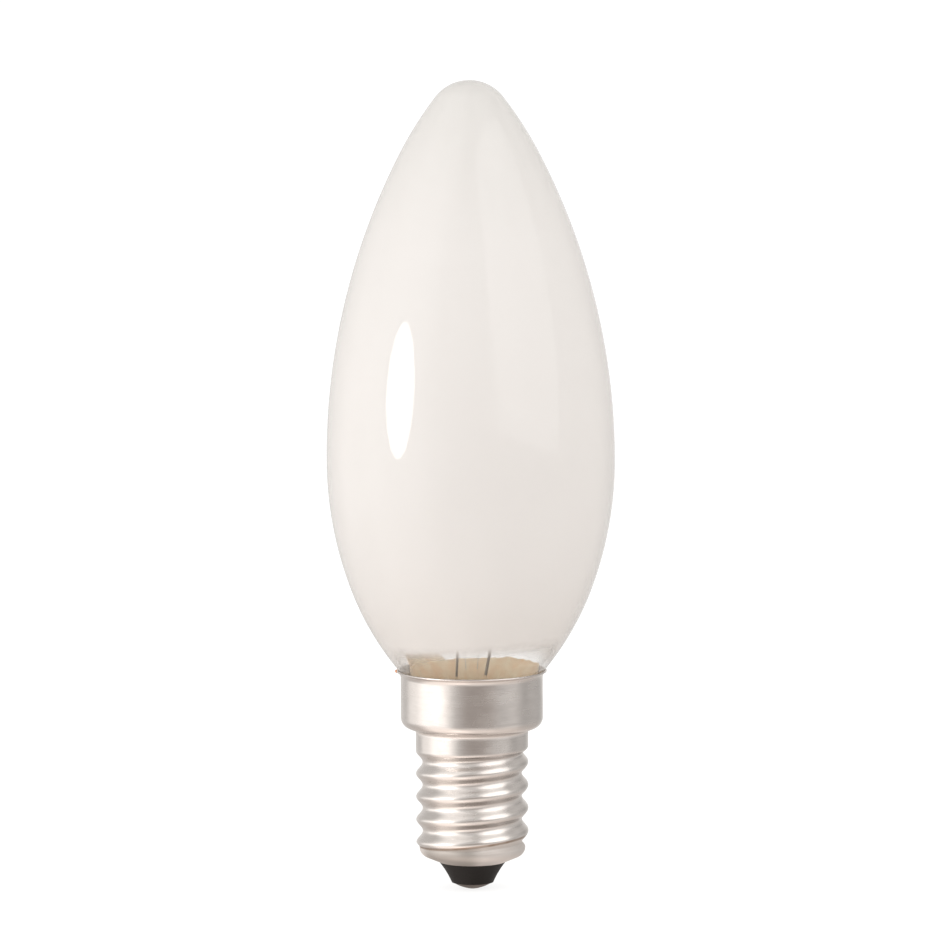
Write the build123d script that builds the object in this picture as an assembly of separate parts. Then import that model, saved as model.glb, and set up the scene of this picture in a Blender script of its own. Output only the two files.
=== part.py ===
from build123d import *

import os
from math import asin, atan, cos, degrees, radians, sin, sqrt, tan

# A candle bulb with a small screw cap, tip up.
# The origin is the lowest point of the centre contact, on the bulb's axis, and +Z points to the tip.
# Lengths are in millimetres and angles in degrees.

# Glass envelope
bulb_d = 35.0
crown_h = 46.05  # from the widest ring up to the tip
tip_bend = 5.2
flank_slope = 1.355  # how much the glass leans in where the flank ends, against the crown's width to height
tip_slope = 2.026  # the same where the brow ends and the tip's bend starts
hip_share = 0.769  # radius of the hip, the stretch above the cap, against the belly's
hip_angle = 20.7  # how far the glass leans out where the belly starts
seat_angle = 39.5  # how far the glass leans out where it leaves the cap
glass_wall = 0.6
seat_gap = 0.06  # between the glass and the cap's edge

# Screw shell, rolled from one sheet
sheet = 0.25
collar_d = 17.3
collar_h = 4.25
lip_bend = 2.4
shoulder_bend = 1.3
shoulder_angle = 20.0
waist_bend = 0.35
waist_h = 1.65
thread_d = 13.7
thread_depth = 0.8
thread_pitch = 2.82
thread_turns = 4.45
thread_start_angle = 100.0
run_in = 0.25  # turns that the thread takes to grow at the bottom
run_out = 0.45  # turns that it takes to fade at the top
rings_per_turn = 8
base_bend = 1.15
base_angle = 23.0
base_hole_d = 8.2

# Insulator, contact plate and its solder
insulator_h = 2.56  # the cone that shows below the shell
insulator_edge = 0.15
insulator_hollow = 0.1  # how far the cone curves in
insulator_fit = 0.05
insulator_fill_h = 3.0  # inside the shell, above the cone
funnel_depth = 1.6
plate_d = 4.8
plate_dome = 4.15
plate_wall = 0.3
plate_hole_d = 1.2
solder_d = 2.2
solder_drop = 0.05  # the solder's lowest point below the plate's

# Capping cement
cement_gap = 0.85  # between the glass neck and the collar
cement_below_rim = 0.3

# Stem: flared tube, press and exhaust tube
stem_wall = 0.8
stem_d = 8.0
flare_bend = 2.0
flare_clearance = 0.9  # above the shell's shoulder
stem_tube_h = 0.4
pinch_h = 2.0
press_w = 10.0
press_t = 2.6
press_h = 2.0
press_edge = 0.5
exhaust_d = 3.4
exhaust_wall = 0.6
exhaust_length = 15.0
exhaust_tip_h = 2.0
vent_d = 1.2
vent_h = 1.4  # from the tube's end up to the side vent

# Wires and filament
lead_d = 0.35
side_lead_d = 0.3
lead_bend = 0.8
side_lead_bend = 0.4
lead_under_flare = 0.45
lead_end_depth = 0.35
weld_d = 0.5
weld_start = 0.3  # below the foot of the cap's lip
seal_left_x = 1.85
seal_right_x = 1.65
top_left_x = 1.7
top_right_x = 2.25
lead_rise = 1.2  # straight run of the leads above the press
hook = 1.5
mount_h = 27.0  # from the press up to the filament's ends
filament_span = 12.6
filament_rise = 2.4
filament_d = 0.5
support_d = 0.24
support_foot_x = 0.7
support_head_x = 2.6
support_sunk = 1.0

# The cap's levels, from the contact upwards
crest_r = thread_d / 2
mean_r = crest_r - thread_depth / 2
collar_r = collar_d / 2
collar_in_r = collar_r - sheet
base_hole_r = base_hole_d / 2
plate_r = plate_d / 2
plate_hole_r = plate_hole_d / 2
dome_z = solder_drop + plate_dome
plate_rim_z = dome_z - sqrt(plate_dome**2 - plate_r**2)
base_z = plate_rim_z + insulator_h
base_run = (mean_r - base_bend * (1 - sin(radians(base_angle))) - base_hole_r) / cos(radians(base_angle))
thread_z = base_z + base_run * sin(radians(base_angle)) + base_bend * cos(radians(base_angle))
waist_z = thread_z + thread_pitch * thread_turns
shoulder_reach = (waist_bend + shoulder_bend) * (1 - sin(radians(shoulder_angle)))
shoulder_run = (collar_r - crest_r - shoulder_reach) / cos(radians(shoulder_angle))
shoulder_h = (waist_bend + shoulder_bend) * cos(radians(shoulder_angle))
shoulder_h += shoulder_run * sin(radians(shoulder_angle))
collar_z = waist_z + waist_h + shoulder_h
lip_z = collar_z + collar_h

# The glass leaves the lip's inner edge along the same slope, a small gap inside it
lean = radians(seat_angle)
rim_r = collar_in_r + lip_bend * (1 - cos(lean))
rim_z = lip_z + lip_bend * sin(lean)
seat_r = rim_r - seat_gap * cos(lean)
seat_z = rim_z + seat_gap * sin(lean)
neck_r = collar_in_r - cement_gap
bulb_r = bulb_d / 2
neck_sweep = (seat_r - neck_r) / (1 - cos(lean))
neck_z = seat_z - neck_sweep * sin(lean)
hip_lean = radians(hip_angle)
belly_sweep = (bulb_r - seat_r) / (1 - cos(hip_lean) + hip_share * (cos(hip_lean) - cos(lean)))
hip_sweep = hip_share * belly_sweep
widest_z = seat_z + hip_sweep * (sin(lean) - sin(hip_lean)) + belly_sweep * sin(hip_lean)

# The flank and the brow share what the tip's bend leaves of the crown's width and height
flank_lean = atan(flank_slope * bulb_r / crown_h)
tip_lean = atan(tip_slope * bulb_r / crown_h)
flank_in, flank_up = 1 - cos(flank_lean), sin(flank_lean)
brow_in, brow_up = cos(flank_lean) - cos(tip_lean), sin(tip_lean) - sin(flank_lean)
crown_in = bulb_r - tip_bend * cos(tip_lean)
crown_up = crown_h - tip_bend * (1 - sin(tip_lean))
crown_share = flank_in * brow_up - brow_in * flank_up
flank_sweep = (crown_in * brow_up - brow_in * crown_up) / crown_share
brow_sweep = (flank_in * crown_up - crown_in * flank_up) / crown_share

# The stem's levels, from the shell's shoulder upwards
flare_z = collar_z - shoulder_bend * cos(radians(shoulder_angle)) + flare_clearance
seal_z = flare_z + stem_wall
stem_r = stem_d / 2
bore_r = stem_r - stem_wall
pinch_z = seal_z + flare_bend + stem_tube_h
press_z = pinch_z + pinch_h
press_top = press_z + press_h
exhaust_r = exhaust_d / 2
exhaust_bore_r = exhaust_r - exhaust_wall
lead_x = (exhaust_r + bore_r) / 2
filament_z = press_top + mount_h
half_span = filament_span / 2
filament_sweep = (half_span**2 + filament_rise**2) / (2 * filament_rise)
filament_slope = degrees(asin(half_span / filament_sweep))


def outline(start, heading, moves, inset=0.0):
    """A chain of tangent lines and arcs; an inset runs the same course further to the left."""
    point = Vector(*start) + Vector(0, inset).rotate(Axis.Z, heading)
    edges = []
    for kind, size, turn in moves:
        ahead = Vector(1, 0).rotate(Axis.Z, heading)
        if kind == "line":
            edge = Line(point, point + ahead * size)
        else:
            side = 1 if kind == "left" else -1
            edge = JernArc(point, ahead, size - side * inset, side * turn)
            heading += side * turn
        edges.append(edge)
        point = edge @ 1
    return edges


def closed(one_side, other_side):
    """The face between two chains whose starts and ends are joined by straight lines."""
    foot = Line(one_side[0] @ 0, other_side[0] @ 0)
    head = Line(one_side[-1] @ 1, other_side[-1] @ 1)
    return make_face(one_side + other_side + [foot, head])


def turned(face):
    """A face drawn as radius and height, turned about the bulb's axis."""
    return revolve(Plane.XZ * face, Axis.Z)


def turned_wall(start, heading, moves, wall):
    """A wall of even thickness to the left of its course."""
    return turned(closed(outline(start, heading, moves), outline(start, heading, moves, wall)))


def wire(points, diameter, bend):
    """A round wire in the plane of the leads, through points given as x and height."""
    route = FilletPolyline(*[(x, 0, z) for x, z in points], radius=bend)
    return sweep(Plane(route @ 0, z_dir=route % 0) * Circle(diameter / 2), route)


def ease(share):
    """A smooth step from 0 to 1."""
    share = min(1, max(0, share))
    return share * share * (3 - 2 * share)


def glass_envelope():
    """Blown glass: neck, flared seat, hip, belly, flank, brow and rounded tip, as tangent arcs."""
    moves = [
        ("line", neck_z - seal_z, 0),
        ("right", neck_sweep, seat_angle),
        ("left", hip_sweep, seat_angle - hip_angle),
        ("left", belly_sweep, hip_angle),
        ("left", flank_sweep, degrees(flank_lean)),
        ("left", brow_sweep, degrees(tip_lean - flank_lean)),
        ("left", tip_bend, 90 - degrees(tip_lean)),
    ]
    return turned_wall((neck_r, seal_z), 90, moves, glass_wall)


def thread_core(crest):
    """Rings whose centres wind about the axis, joined one to the next: a rolled, right-hand thread."""
    steps = round(thread_turns * rings_per_turn)
    rings = []
    for step in range(steps + 1):
        turn = thread_turns * step / steps
        grown = ease(turn / run_in)
        left_over = ease((thread_turns - turn) / run_out)
        shift = thread_depth / 2 * min(grown, left_over)
        centre = Vector(shift, 0).rotate(Axis.Z, thread_start_angle + 360 * turn)
        ring = Wire.make_circle(crest - thread_depth / 2 * left_over)
        rings.append(Pos(centre.X, centre.Y, thread_z + thread_pitch * turn) * ring)
    return Solid.make_loft(rings, ruled=True)


def screw_shell():
    """Sheet cap: inturned base, rolled thread, shoulder, collar and flared lip."""
    base_moves = [("line", base_run, 0), ("left", base_bend, 90 - base_angle)]
    base = turned_wall((base_hole_r, base_z), base_angle, base_moves, sheet)
    thread = thread_core(crest_r) - thread_core(crest_r - sheet)
    collar_moves = [
        ("line", waist_h, 0),
        ("right", waist_bend, 90 - shoulder_angle),
        ("line", shoulder_run, 0),
        ("left", shoulder_bend, 90 - shoulder_angle),
        ("line", collar_h, 0),
        ("right", lip_bend - sheet, seat_angle),
    ]
    collar = turned_wall((crest_r, waist_z), 90, collar_moves, sheet)
    return base + thread + collar


def dome_arc(radius):
    """The contact plate's curve, from the edge of its hole to its rim."""
    low = degrees(asin(plate_hole_r / radius)) - 90
    high = degrees(asin(plate_r / radius)) - 90
    return CenterArc((0, dome_z), radius, low, high - low)


def insulator():
    """Black glass that fills the base, funnelled inside and coned outside, with the lead's hole."""
    seat = dome_arc(plate_dome - plate_wall)
    edge_r = base_hole_r - sheet * sin(radians(base_angle))
    edge_z = base_z + sheet * cos(radians(base_angle))
    fill_r = crest_r - thread_depth - sheet - insulator_fit
    fill_z = edge_z + (fill_r - edge_r) * tan(radians(base_angle))
    tip_r = plate_r + insulator_edge
    tip = Polyline(seat @ 1, (plate_r, plate_rim_z), (tip_r, plate_rim_z))
    cone = SagittaArc((tip_r, plate_rim_z), (base_hole_r, base_z), insulator_hollow)
    inside = Polyline(
        (base_hole_r, base_z),
        (edge_r, edge_z),
        (fill_r, fill_z),
        (fill_r, base_z + insulator_fill_h),
        (plate_hole_r, base_z + insulator_fill_h - funnel_depth),
        seat @ 0,
    )
    return turned(make_face([seat, tip, cone, inside]))


def contact_plate():
    """Dished disc under the insulator, with a hole for the lead."""
    return turned(closed([dome_arc(plate_dome)], [dome_arc(plate_dome - plate_wall)]))


def contact_solder():
    """Solder that fills the plate's hole and stands below it as a low drop."""
    inner_dome = plate_dome - plate_wall
    top_z = dome_z - sqrt(inner_dome**2 - plate_hole_r**2)
    solder_r = solder_d / 2
    meet_z = dome_z - sqrt(plate_dome**2 - solder_r**2)
    drop_bend = (solder_r**2 + meet_z**2) / (2 * meet_z)
    drop = JernArc((0, 0), (1, 0), drop_bend, degrees(asin(solder_r / drop_bend)))
    spread_from = degrees(asin(plate_hole_r / plate_dome))
    spread_to = degrees(asin(solder_r / plate_dome))
    under_plate = CenterArc((0, dome_z), plate_dome, spread_from - 90, spread_to - spread_from)
    plug = Polyline(under_plate @ 0, (plate_hole_r, top_z), (0, top_z), (0, 0))
    return turned(make_face([drop, under_plate, plug]))


def capping_cement():
    """Cement ring between the glass neck and the collar, up to just below the lip's edge."""
    top_z = rim_z - cement_below_rim
    glass_turn = degrees(asin((top_z - neck_z) / neck_sweep))
    lip_turn = degrees(asin((top_z - lip_z) / lip_bend))
    by_glass = [("line", neck_z - collar_z, 0), ("right", neck_sweep, glass_turn)]
    by_shell = [("line", collar_h, 0), ("right", lip_bend, lip_turn)]
    inside = outline((neck_r, collar_z), 90, by_glass)
    outside = outline((collar_in_r, collar_z), 90, by_shell)
    return turned(closed(inside, outside))


def glass_stem():
    """Flared tube that closes the neck, pinched flat at its top into the press that holds the wires."""
    flare = neck_r - stem_r - flare_bend
    moves = [("line", flare, 0), ("right", flare_bend, 90), ("line", stem_tube_h, 0)]
    tube = turned_wall((neck_r, seal_z), 180, moves, stem_wall)
    slot = SlotOverall(press_w, press_t)
    pinch = loft([Pos(0, 0, pinch_z) * Circle(stem_r), Pos(0, 0, press_z) * slot])
    press = extrude(Pos(0, 0, press_z) * slot, press_h)
    press = fillet(press.faces().sort_by(Axis.Z)[-1].edges(), press_edge)
    vent = Pos(0, 0, pinch_z + vent_h / 2) * Cylinder(vent_d / 2, vent_h)
    side_vent = Plane(Vector(0, 0, pinch_z + vent_h), z_dir=Vector(0, 1, 0)) * Circle(vent_d / 2)
    return tube + pinch + press - vent - extrude(side_vent, stem_r)


def exhaust_tube():
    """Thin tube up the stem's bore, drawn to a closed point at its lower end."""
    tip_z = pinch_z - exhaust_length
    draw_z = tip_z + exhaust_tip_h
    section = Polyline(
        (exhaust_bore_r, pinch_z),
        (exhaust_r, pinch_z),
        (exhaust_r, draw_z),
        (exhaust_wall, tip_z),
        (0, tip_z),
        (0, draw_z - exhaust_wall),
        (exhaust_bore_r, draw_z),
        close=True,
    )
    return turned(make_face(section))


def upper_lead(seal_x, top_x):
    """The points of a lead from the stem's bore to the filament, as distance from the axis and height."""
    hook_x = half_span + hook * cos(radians(filament_slope))
    hook_z = filament_z - hook * sin(radians(filament_slope))
    return [
        (lead_x, pinch_z),
        (seal_x, press_z),
        (top_x, press_top + lead_rise),
        (hook_x, hook_z),
        (half_span, filament_z),
    ]


def lead_wire_centre():
    """Lead from the centre contact, through the insulator and the stem, to the filament's right end."""
    draw_z = pinch_z - exhaust_length
    fill_z = base_z + insulator_fill_h
    lower = [(0, lead_end_depth), (0, fill_z), (lead_x, draw_z + exhaust_tip_h)]
    return wire(lower + upper_lead(seal_right_x, top_right_x), lead_d, lead_bend)


def weld_root():
    """Where the side lead ends, midway between the glass and the collar, as radius and height."""
    z = lip_z - weld_start
    glass_r = neck_r + neck_sweep - sqrt(neck_sweep**2 - (z - neck_z) ** 2)
    return (glass_r + collar_in_r) / 2, z


def lead_wire_side():
    """Lead from the lip's weld, down through the cement, under the flare and up to the filament's left end."""
    root_r, root_z = weld_root()
    cement_r = (neck_r + collar_in_r) / 2
    under_z = flare_z - lead_under_flare
    cap_run = [(-root_r, root_z), (-cement_r, neck_z), (-cement_r, under_z)]
    stem_run = [(-x, z) for x, z in [(lead_x, under_z)] + upper_lead(seal_left_x, top_left_x)]
    return wire(cap_run + stem_run, side_lead_d, side_lead_bend)


def side_weld():
    """Bead that joins the side lead to the lip's edge."""
    root_r, root_z = weld_root()
    root = Vector(-root_r, 0, root_z)
    edge_r = rim_r + sheet / 2 * cos(lean)
    edge_z = rim_z - sheet / 2 * sin(lean)
    edge = Vector(-edge_r, 0, edge_z)
    bead_r = weld_d / 2
    bar = Solid.make_cylinder(bead_r, (edge - root).length, Plane(root, z_dir=edge - root))
    return bar + Pos(root) * Sphere(bead_r) + Pos(edge) * Sphere(bead_r)


def filament():
    """The coil's outer form: a rod bent in one arc between the leads."""
    start = Vector(-half_span, 0, filament_z)
    middle = Vector(0, 0, filament_z + filament_rise)
    route = ThreePointArc(start, middle, Vector(half_span, 0, filament_z))
    return sweep(Plane(route @ 0, z_dir=route % 0) * Circle(filament_d / 2), route)


def support_wire(side):
    """Straight wire from the press to the filament."""
    sag = filament_sweep - sqrt(filament_sweep**2 - support_head_x**2)
    foot = Vector(side * support_foot_x, 0, press_top - support_sunk)
    head = Vector(side * support_head_x, 0, filament_z + filament_rise - sag)
    return Solid.make_cylinder(support_d / 2, (head - foot).length, Plane(foot, z_dir=head - foot))


def build():
    """All the pieces, each cut where another passes through it or is set in it."""
    envelope = glass_envelope()
    coil = filament()
    centre_lead = lead_wire_centre()
    side_lead = lead_wire_side()
    supports = {
        "support_wire_left": support_wire(-1) - coil,
        "support_wire_right": support_wire(1) - coil,
    }
    bead = side_weld() - envelope - side_lead
    stem = glass_stem() - centre_lead - side_lead
    for support in supports.values():
        stem -= support
    return {
        "glass_envelope": envelope,
        "screw_shell": screw_shell() - side_weld(),
        "insulator": insulator(),
        "contact_plate": contact_plate(),
        "contact_solder": contact_solder() - centre_lead,
        "capping_cement": capping_cement() - side_lead - side_weld(),
        "glass_stem": stem,
        "exhaust_tube": exhaust_tube(),
        "lead_wire_centre": centre_lead,
        "lead_wire_side": side_lead,
        "side_weld": bead,
        "filament": coil,
        **supports,
    }


os.makedirs("parts", exist_ok=True)
for name, shape in build().items():
    shape.label = name
    export_step(shape, f"parts/{name}.step")
    print(f"{name}: {shape.volume:.2f} cubic mm")
print(f"rim at {rim_z:.2f}, widest ring at {widest_z:.2f}, tip at {widest_z + crown_h:.2f} mm")
print(f"glass radii: hip {hip_sweep:.2f}, belly {belly_sweep:.2f}, flank {flank_sweep:.2f}, brow {brow_sweep:.2f} mm")
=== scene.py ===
# %% [markdown]
# # A candle bulb, finished for the camera
# The solids of the bulb come from CAD as a fixed frame, in metres, with +Z from the contact to the tip.
# This file gives them their looks: smooth turned glass and metal, a wound filament, ragged cement, and a
# finish for every surface. Each step says what the piece is on a real bulb, and why it is made this way.

# %% Load the frame
from math import asin, atan, ceil, cos, degrees, pi, radians, sin, sqrt

import bpy
import numpy as np
from mathutils import Matrix, Vector, noise


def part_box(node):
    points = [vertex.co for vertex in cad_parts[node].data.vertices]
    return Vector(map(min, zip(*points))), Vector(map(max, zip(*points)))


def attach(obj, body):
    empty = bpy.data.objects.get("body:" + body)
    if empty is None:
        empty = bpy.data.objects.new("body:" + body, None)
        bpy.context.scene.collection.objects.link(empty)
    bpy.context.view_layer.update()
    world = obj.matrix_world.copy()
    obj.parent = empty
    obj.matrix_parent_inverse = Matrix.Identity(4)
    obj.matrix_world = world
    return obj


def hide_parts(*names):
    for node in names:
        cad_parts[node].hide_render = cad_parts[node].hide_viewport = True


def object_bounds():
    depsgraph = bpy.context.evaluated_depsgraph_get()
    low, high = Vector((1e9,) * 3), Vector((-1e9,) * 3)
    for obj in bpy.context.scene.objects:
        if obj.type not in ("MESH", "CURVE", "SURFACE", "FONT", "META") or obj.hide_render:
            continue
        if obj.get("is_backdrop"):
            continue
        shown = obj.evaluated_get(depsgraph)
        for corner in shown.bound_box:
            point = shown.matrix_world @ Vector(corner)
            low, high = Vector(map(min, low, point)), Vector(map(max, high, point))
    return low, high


MM = 0.001
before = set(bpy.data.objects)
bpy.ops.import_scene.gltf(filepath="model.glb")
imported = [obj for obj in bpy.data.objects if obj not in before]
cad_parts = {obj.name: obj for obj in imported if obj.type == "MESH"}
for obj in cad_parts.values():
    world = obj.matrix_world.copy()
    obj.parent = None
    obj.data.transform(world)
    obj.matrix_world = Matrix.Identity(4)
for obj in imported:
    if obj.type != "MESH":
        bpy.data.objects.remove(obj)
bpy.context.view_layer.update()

# %% [markdown]
# ## Sizes
# A bulb is a chain of fits: the cap's lip carries the glass, so the glass starts from the lip. What can
# be read from the frame is read from it, such as the widest radius, the tip and the lip. The bends and
# walls that a box can't tell are the same driving sizes that a drawing of the bulb would give.

# %% Sizes read from the frame
glass_low, glass_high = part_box("glass_envelope")
shell_low, shell_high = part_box("screw_shell")
bulb_r = glass_high.x
tip_z = glass_high.z
seal_z = glass_low.z
lip_r = shell_high.x
rim_z = shell_high.z
base_z = shell_low.z
print(f"lip at {rim_z / MM:.2f}, tip at {tip_z / MM:.2f}, widest radius {bulb_r / MM:.2f} mm")

# %% Sizes of the lip and the glass that it carries
lean = radians(39.5)
sheet = 0.25 * MM
lip_bend = 2.4 * MM
collar_h = 4.25 * MM
seat_gap = 0.06 * MM
cement_gap = 0.85 * MM
rim_r = lip_r - sheet * cos(lean)
collar_in_r = rim_r - lip_bend * (1 - cos(lean))
lip_z = rim_z - lip_bend * sin(lean)
seat_r = rim_r - seat_gap * cos(lean)
seat_z = rim_z + seat_gap * sin(lean)
neck_r = collar_in_r - cement_gap
neck_sweep = (seat_r - neck_r) / (1 - cos(lean))
neck_z = seat_z - neck_sweep * sin(lean)
print(f"collar radius inside {collar_in_r / MM:.2f}, neck radius {neck_r / MM:.2f} mm")

# %% [markdown]
# ## Camera
# The bulb is seen from a little above its middle, through a long lens, so its sides stay almost parallel.
# The camera could be aimed by a constraint, but three numbers are enough: how high it looks from, how far
# away it stands and how much it is turned about its own axis.

# %% The camera at the photograph's viewing angle
view_elevation = radians(6.4)
view_distance = 0.951
view_roll = radians(-0.25)
view_target = Vector((-0.1 * MM, 0, 51.4 * MM))
lens = bpy.data.cameras.new("camera")
lens.lens = 300
lens.sensor_width = 36
camera = bpy.data.objects.new("camera", lens)
camera.location = view_target + view_distance * Vector((0, -cos(view_elevation), sin(view_elevation)))
aim = (view_target - camera.location).to_track_quat("-Z", "Y")
camera.rotation_euler = (aim.to_matrix() @ Matrix.Rotation(view_roll, 3, "Z")).to_euler()
bpy.context.scene.collection.objects.link(camera)
bpy.context.scene.camera = camera
print(f"camera {view_distance} m away, {degrees(view_elevation):.1f} degrees up")

# %% [markdown]
# ## Node maths in plain Python
# Shaders and Geometry Nodes are both trees of nodes, and most of their nodes only add and multiply. One
# small class wraps a socket, so that arithmetic on it adds the Math nodes. Its node() method makes any
# other node: the settings come first, because they decide which sockets there are, then the values and
# links.

# %% A socket that can be calculated with
class Signal:
    """A socket of a node tree."""

    def __init__(self, tree, socket=None):
        self.tree = tree
        self.socket = socket

    def node(self, kind, settings=None, inputs=None, out=0):
        """Adds a node, sets it up, fills its sockets and returns one of its outputs."""
        made = self.tree.nodes.new(kind)
        for name, value in (settings or {}).items():
            setattr(made, name, value)
        for name, value in (inputs or {}).items():
            if isinstance(value, Signal):
                self.tree.links.new(value.socket, made.inputs[name])
            else:
                made.inputs[name].default_value = value
        return Signal(self.tree, made.outputs[out] if made.outputs else None)

    def maths(self, operation, first, second=0.0):
        return self.node("ShaderNodeMath", {"operation": operation}, {0: first, 1: second})

    def __add__(self, other):
        return self.maths("ADD", self, other)

    def __sub__(self, other):
        return self.maths("SUBTRACT", self, other)

    def __rsub__(self, other):
        return self.maths("SUBTRACT", other, self)

    def __mul__(self, other):
        return self.maths("MULTIPLY", self, other)

    def __truediv__(self, other):
        return self.maths("DIVIDE", self, other)

    def __pow__(self, other):
        return self.maths("POWER", self, other)

    def __abs__(self):
        return self.maths("ABSOLUTE", self)

    __radd__ = __add__
    __rmul__ = __mul__


print("Signal has the operators + - * / ** and abs")

# %% Helpers for both kinds of tree
def split(vector):
    """The three parts of a vector."""
    parts = vector.node("ShaderNodeSeparateXYZ", inputs={0: vector}).socket.node.outputs
    return [Signal(vector.tree, part) for part in parts]


def smooth_step(value, low, high, curve="SMOOTHSTEP"):
    """0 below low, 1 above high, and an easy curve between them."""
    bounds = {"Value": value, "From Min": low, "From Max": high}
    return value.node("ShaderNodeMapRange", {"interpolation_type": curve}, bounds)


def blend(share, first, second):
    """A colour between two others."""
    return share.node("ShaderNodeMix", {"data_type": "RGBA"}, {0: share, 6: first, 7: second}, out=2)


print("helpers: split, smooth_step, blend")

# %% [markdown]
# ## Light
# Small bright metal shows the room more than itself, so the room is part of the finish. It is a pale room
# with a tall bright window on the left, grey where the camera stands and along the right, and a warm
# table below. The window makes the white band down the cap, the grey round the camera makes the dark
# stripe beside it, and a small bright patch high on the right makes the streaks on the thread. A picture
# of a room could do this, but a few soft patches of sky are enough: each is a direction with a core, a
# reach and a glow that it adds.

# %% Directions and patches of sky
def toward(azimuth, elevation):
    """A direction from the bulb: azimuth 0 is the camera's side and 90 is the right."""
    turn, rise = radians(azimuth), radians(elevation)
    return Vector((sin(turn) * cos(rise), -cos(turn) * cos(rise), sin(rise)))


def share_toward(direction, azimuth, elevation):
    """How much a direction goes this way: 1 straight on, 0 sideways and -1 the other way."""
    both = {0: direction, 1: toward(azimuth, elevation)}
    return direction.node("ShaderNodeVectorMath", {"operation": "DOT_PRODUCT"}, both, out="Value")


def sky_patch(direction, azimuth, elevation, core, reach):
    """1 within core degrees of a direction, fading to 0 at reach degrees."""
    cosine = share_toward(direction, azimuth, elevation)
    return smooth_step(cosine, cos(radians(reach)), cos(radians(core)))


print("the right-hand side lies towards", [round(part, 2) for part in toward(90, 0)])

# %% The patches of the room
room_glow = 0.775
window_glow = 0.84
window_azimuth = -62
ceiling_glow = -0.22
room_hue = (1.0, 0.98, 0.955, 1)
warm_hue = (1.0, 0.89, 0.82, 1)
# Each has an azimuth, an elevation, a core and a reach in degrees, and the glow that it adds.
# The first group is kept to a level band round the room.
band_patches = {
    "camera side": (10, -4, 6, 39, -0.31),
    "far side": (180, 0, 10, 45, 0.16),
    "left side": (-102, -6, 10, 32, 0.60),
    "right front": (72, -8, 12, 40, -0.18),
}
free_patches = {
    "right side": (122, -12, 15, 48, -0.36),
    "right high": (60, 61, 10, 26, 0.70),
    "right low": (105, -35, 15, 65, 0.28),
    "table": (5, -60, 12, 36, 0.40),
}
print("patches of sky:", ", ".join([*band_patches, *free_patches]))

# %% Surroundings
world = bpy.data.worlds.new("studio")
bpy.context.scene.world = world
world.use_nodes = True
world.node_tree.nodes.clear()
start = Signal(world.node_tree)
direction = start.node("ShaderNodeTexCoord", out="Generated")
upward = split(direction)[2]
level = 1 - smooth_step(upward, 0.12, 0.5) - smooth_step(0 - upward, 0.18, 0.42)
across = share_toward(direction, window_azimuth + 90, 0)
window = smooth_step(across, -0.68, -0.25) * (1 - smooth_step(across, 0.25, 0.60))
window = window * smooth_step(share_toward(direction, window_azimuth, 0), 0.0, 0.4)
ceiling = smooth_step(upward, 0.5, 0.95)
glow = room_glow + window_glow * window + ceiling_glow * ceiling
for *where, added in band_patches.values():
    glow = glow + added * level * sky_patch(direction, *where)
for *where, added in free_patches.values():
    glow = glow + added * sky_patch(direction, *where)
camera_side = level * sky_patch(direction, *band_patches["camera side"][:4])
warmth = 0.8 * camera_side + 0.8 * smooth_step(0 - upward, 0.1, 0.9)
hue = blend(warmth, room_hue, warm_hue)
sky = start.node("ShaderNodeBackground", inputs={"Color": hue, "Strength": glow})
start.node("ShaderNodeOutputWorld", inputs={"Surface": sky})
bpy.context.scene.view_settings.view_transform = "Standard"
bpy.context.scene.cycles.transparent_max_bounces = 40
print("surroundings:", len(world.node_tree.nodes), "nodes")

# %% [markdown]
# ## Lamps
# Two of the lights have edges, and soft patches have none. A round lamp on the left shows as a white leaf
# on the glass, and a large weak panel on the right as a second, faint leaf. White cards could give the
# same reflections, but area lights also brighten what they shine on. The camera doesn't see them.

# %% Lamps
WATTS_PER_GLOW = 4.0


def soft_lamp(name, azimuth, elevation, distance, size, glow, tint, shape="RECTANGLE", roll=0):
    """An area light that faces the bulb's middle, turned by a roll about its own axis."""
    lamp = bpy.data.lights.new(name, "AREA")
    lamp.shape = shape
    lamp.size, lamp.size_y = size
    area = size[0] * size[1] * (pi / 4 if shape == "ELLIPSE" else 1)
    lamp.energy = glow * WATTS_PER_GLOW * area
    lamp.color = tint
    light = bpy.data.objects.new(name, lamp)
    away = toward(azimuth, elevation)
    light.location = view_target + distance * away
    turned = (-away).to_track_quat("-Z", "Y").to_matrix() @ Matrix.Rotation(radians(roll), 3, "Z")
    light.rotation_euler = turned.to_euler()
    light.visible_camera = False
    bpy.context.scene.collection.objects.link(light)
    print(f"{name}: {lamp.energy:.2f} W")


soft_lamp(
    "key_lamp", azimuth=-59.5, elevation=7.2, distance=0.6, size=(0.277, 0.235),
    glow=5.0, tint=(1.0, 0.97, 0.94), shape="ELLIPSE",
)
soft_lamp(
    "side_panel", azimuth=51, elevation=28, distance=0.9, size=(1.0, 1.02),
    glow=0.85, tint=(1.0, 0.985, 0.97), roll=-6,
)

# %% [markdown]
# ## Helpers for finishes
# A finish is a material made of nodes. All of them read Object coordinates, in metres, so a pattern has
# its real size and stays on the piece from any side. These few helpers keep the finishes short.

# %% Helpers for finishes
glass_mirror = 0.04


def new_finish(name):
    """An empty material and the start of its tree."""
    finish = bpy.data.materials.new(name)
    finish.use_nodes = True
    finish.node_tree.nodes.clear()
    return finish, Signal(finish.node_tree)


def place(start):
    """Where a point is on the object, in metres."""
    return start.node("ShaderNodeTexCoord", out="Object")


def scaled(vector, x, y, z):
    """A vector with each part multiplied, for patterns that are longer one way."""
    return vector.node("ShaderNodeVectorMath", {"operation": "MULTIPLY"}, {0: vector, 1: (x, y, z)})


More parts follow.
